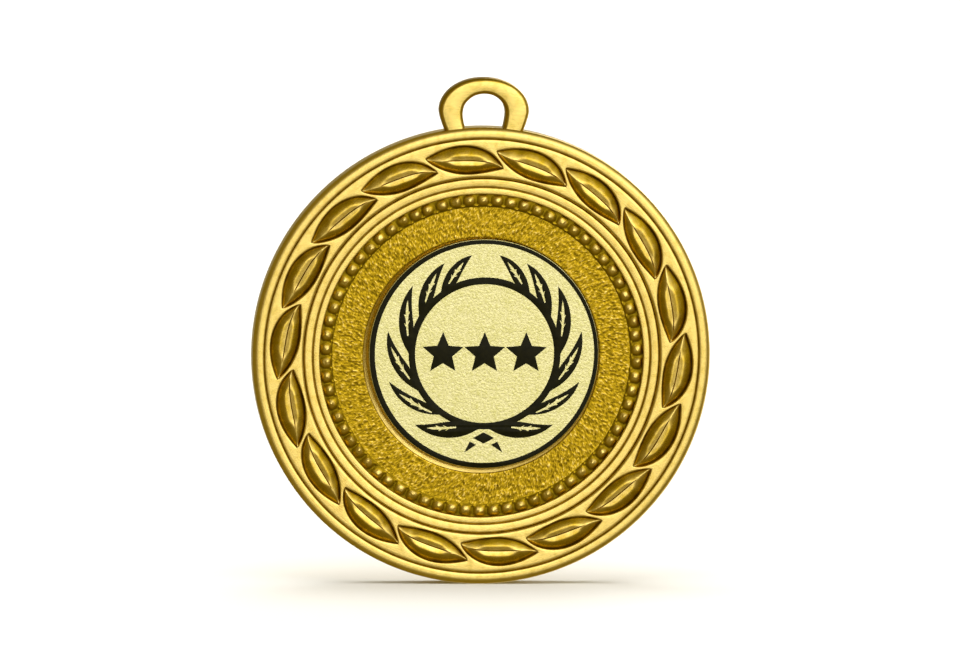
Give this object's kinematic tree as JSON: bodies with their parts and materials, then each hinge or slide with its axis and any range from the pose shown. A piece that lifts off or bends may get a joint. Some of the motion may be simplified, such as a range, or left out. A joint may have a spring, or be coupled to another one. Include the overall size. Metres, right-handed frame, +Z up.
{
  "type": "award medal",
  "caption": "Round cast award medal with a leaf border, a beaded ring, a stick-on emblem and a loop for a ribbon.",
  "frame": {"origin": "centre of the ribbon loop's eye", "axes": "+Z up through the loop as the medal hangs, +Y out of the back, so the face looks towards -Y; +X to the right seen from the front"},
  "size_m": [0.05, 0.003, 0.0554],
  "materials": {
    "antique_gold": "antique gold plate on zinc, polished high points",
    "emblem_gold": "pale gold, fine satin grain",
    "black_enamel": "satin black enamel",
    "adhesive": "matt"
  },
  "bodies": {
    "root": {"medal_casting": "antique_gold", "adhesive_disc": "adhesive", "emblem_disc": "emblem_gold", "emblem_border_enamel": "black_enamel", "emblem_wreath_enamel": "black_enamel", "emblem_bow_enamel": "black_enamel", "emblem_stars_enamel": "black_enamel"}
  },
  "joints": []
}
